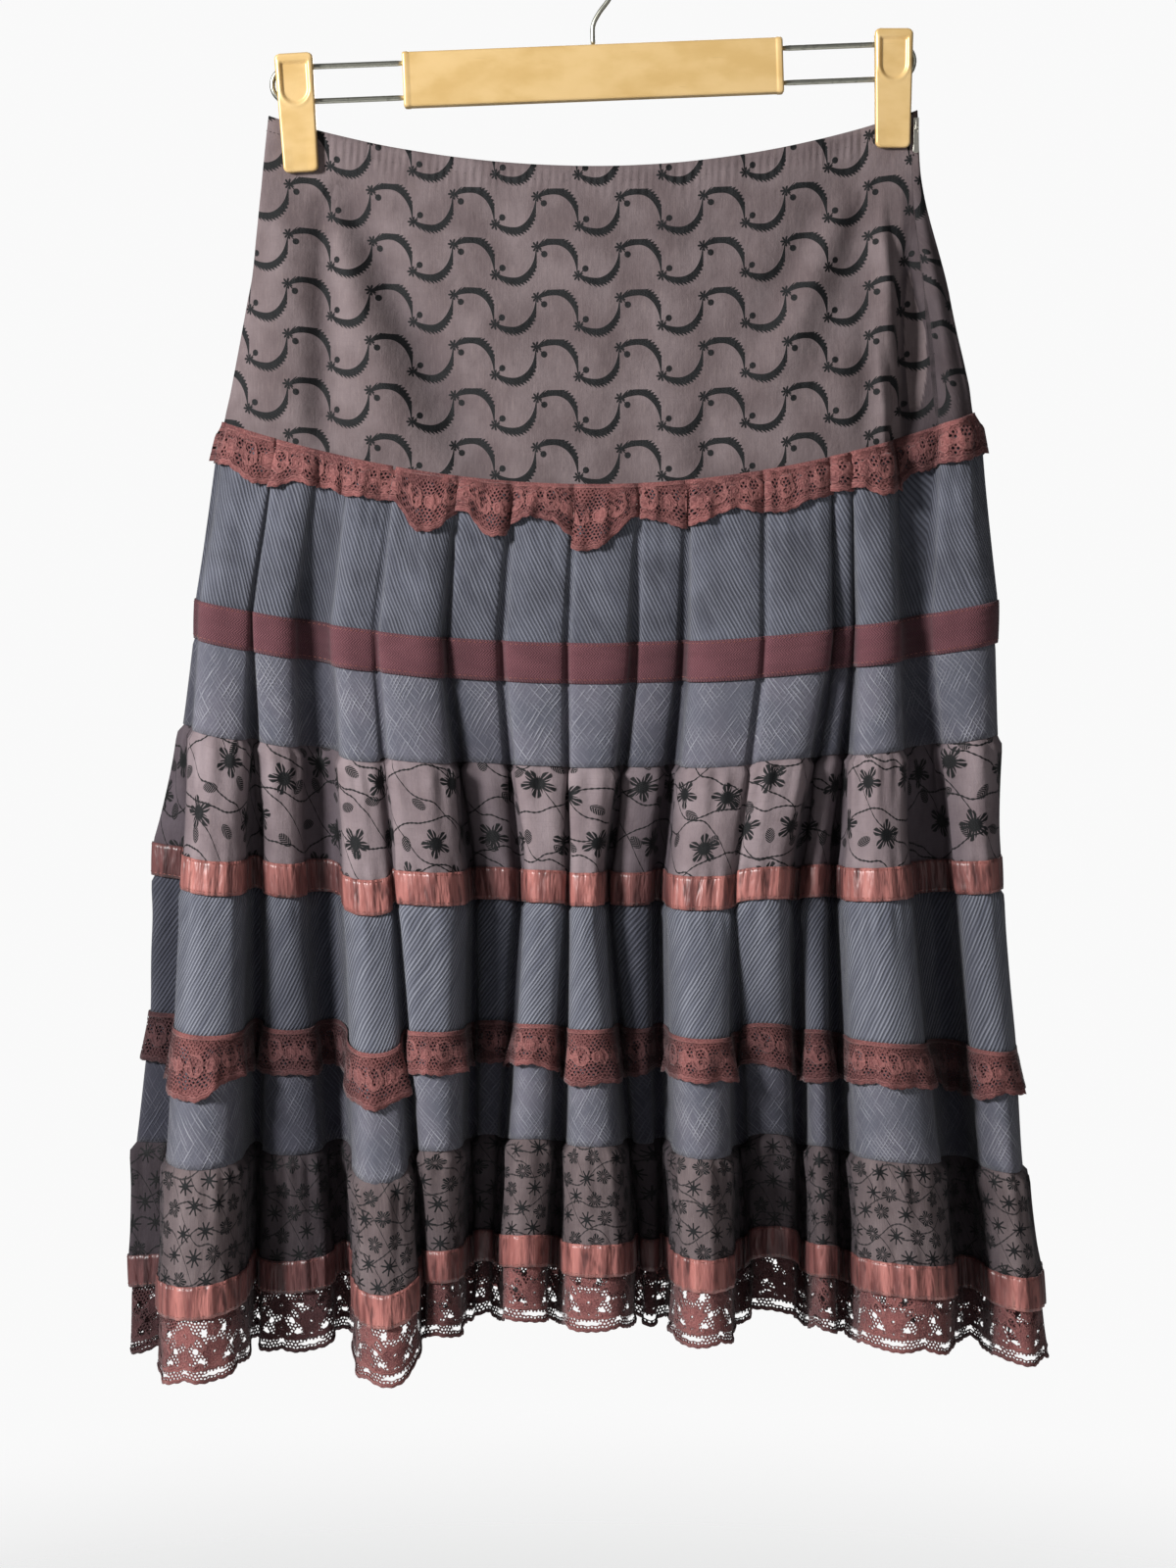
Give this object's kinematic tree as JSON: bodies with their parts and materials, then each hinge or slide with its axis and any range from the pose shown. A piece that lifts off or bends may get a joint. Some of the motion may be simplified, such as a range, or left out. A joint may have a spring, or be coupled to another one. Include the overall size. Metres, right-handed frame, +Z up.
{
  "type": "tiered ruffle skirt on a clip hanger",
  "caption": "Knee-length tiered skirt with a hip yoke, gathered tiers, satin and twill trims and an openwork lace hem, hanging from a wire-hook clip hanger.",
  "frame": {"origin": "top of the inside of the hook, where a rail holds the hanger", "axes": "+Z up; the skirt's front faces -Y; +X runs to the right as the front is seen"},
  "size_m": [0.5244, 0.1322, 0.8079],
  "materials": {
    "taupe_cotton": "matt plain-weave cotton with dark embroidery",
    "slate_crinkle": "matt crinkled cotton with slanting ribs",
    "slate_crosshatch": "matt bias-cut cotton, crossed by paler slub threads",
    "scallop_lace": "matt floral lace with a corded scallop edge",
    "twill_tape": "herringbone twill tape",
    "satin_ribbon": "glossy satin ribbon, puckered by its stitching",
    "gilded_plastic": "gold-coloured moulded plastic",
    "steel_wire": "bright plated wire",
    "zip_metal": "bright plated metal"
  },
  "bodies": {
    "skirt": {"yoke_front": "taupe_cotton", "yoke_back": "taupe_cotton", "upper_lace_front": "scallop_lace", "upper_lace_back": "scallop_lace", "tier_one_front": "slate_crinkle", "tier_one_back": "slate_crinkle", "twill_tape_front": "twill_tape", "twill_tape_back": "twill_tape", "band_one_front": "slate_crosshatch", "band_one_back": "slate_crosshatch", "tier_two_front": "taupe_cotton", "tier_two_back": "taupe_cotton", "upper_ribbon_front": "satin_ribbon", "upper_ribbon_back": "satin_ribbon", "tier_three_front": "slate_crinkle", "tier_three_back": "slate_crinkle", "lower_lace_front": "scallop_lace", "lower_lace_back": "scallop_lace", "band_two_front": "slate_crosshatch", "band_two_back": "slate_crosshatch", "tier_four_front": "taupe_cotton", "tier_four_back": "taupe_cotton", "lower_ribbon_front": "satin_ribbon", "lower_ribbon_back": "satin_ribbon", "hem_lace_front": "scallop_lace", "hem_lace_back": "scallop_lace", "hanger_bar": "gilded_plastic", "rod_left": "steel_wire", "rod_right": "steel_wire", "hook": "steel_wire", "clip_left_front": "gilded_plastic", "clip_left_back": "gilded_plastic", "clip_left_spring": "steel_wire", "clip_right_front": "gilded_plastic", "clip_right_back": "gilded_plastic", "clip_right_spring": "steel_wire", "zip_slider": "zip_metal"},
    "zip_pull": {"zip_tab": "zip_metal"}
  },
  "joints": [
    {"name": "zip_tab_swing", "type": "hinge", "parent": "skirt", "child": "zip_pull", "pos_m": [0.177, -0.0036, -0.1122], "axis": [-1, 0, 0], "range_deg": [0, 165]}
  ]
}
